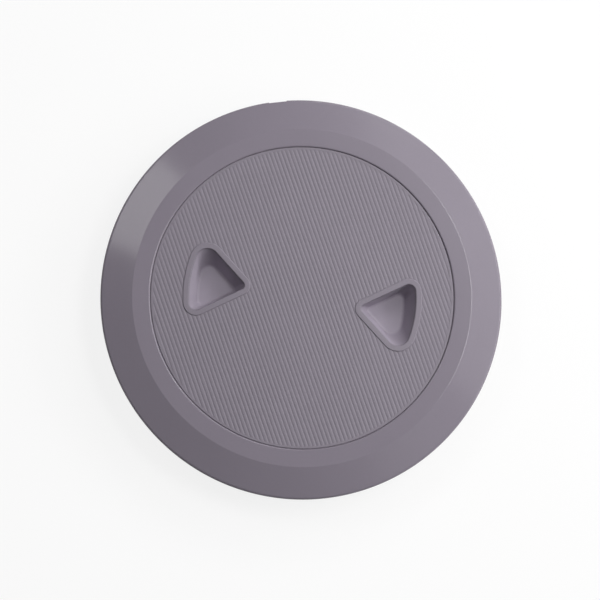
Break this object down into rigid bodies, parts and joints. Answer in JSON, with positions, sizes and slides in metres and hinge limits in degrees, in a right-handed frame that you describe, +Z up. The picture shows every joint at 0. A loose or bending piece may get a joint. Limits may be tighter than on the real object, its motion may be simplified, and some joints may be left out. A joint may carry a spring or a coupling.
{
  "type": "deck inspection plate",
  "caption": "Round screw-in deck inspection plate: bevelled trim ring, threaded deck ring, ribbed anti-slip cover with triangular finger wells, rubber seal.",
  "frame": {"origin": "on the plate's axis, in the plane of the deck's top face, which is the underside of the flange", "axes": "+Z up out of the deck, towards the cover's face; +X through one finger well; +Y completes the frame"},
  "size_m": [0.2028, 0.2028, 0.0265],
  "materials": {
    "trim_plastic": "satin grey moulded plastic with a faint violet cast",
    "cover_plastic": "satin grey moulded plastic, ribbed on its face",
    "ring_plastic": "plain grey moulded plastic",
    "seal_rubber": "dull black rubber"
  },
  "bodies": {
    "ring": {"deck_ring": "ring_plastic", "trim_ring": "trim_plastic"},
    "seal": {"seal": "seal_rubber"},
    "cover": {"cover": "cover_plastic"}
  },
  "joints": [
    {"name": "cover_lift", "type": "slide", "parent": "ring", "child": "seal", "axis": [0, 0, 1], "range_m": [0, 0.0195]},
    {"name": "cover_turn", "type": "hinge", "parent": "seal", "child": "cover", "pos_m": [0, 0, 0], "axis": [0, 0, 1], "range_deg": [0, 1170]}
  ],
  "couplings": [
    {"joint": "cover_lift", "follows": "cover_turn", "m_per_rad": 0.00095493}
  ]
}
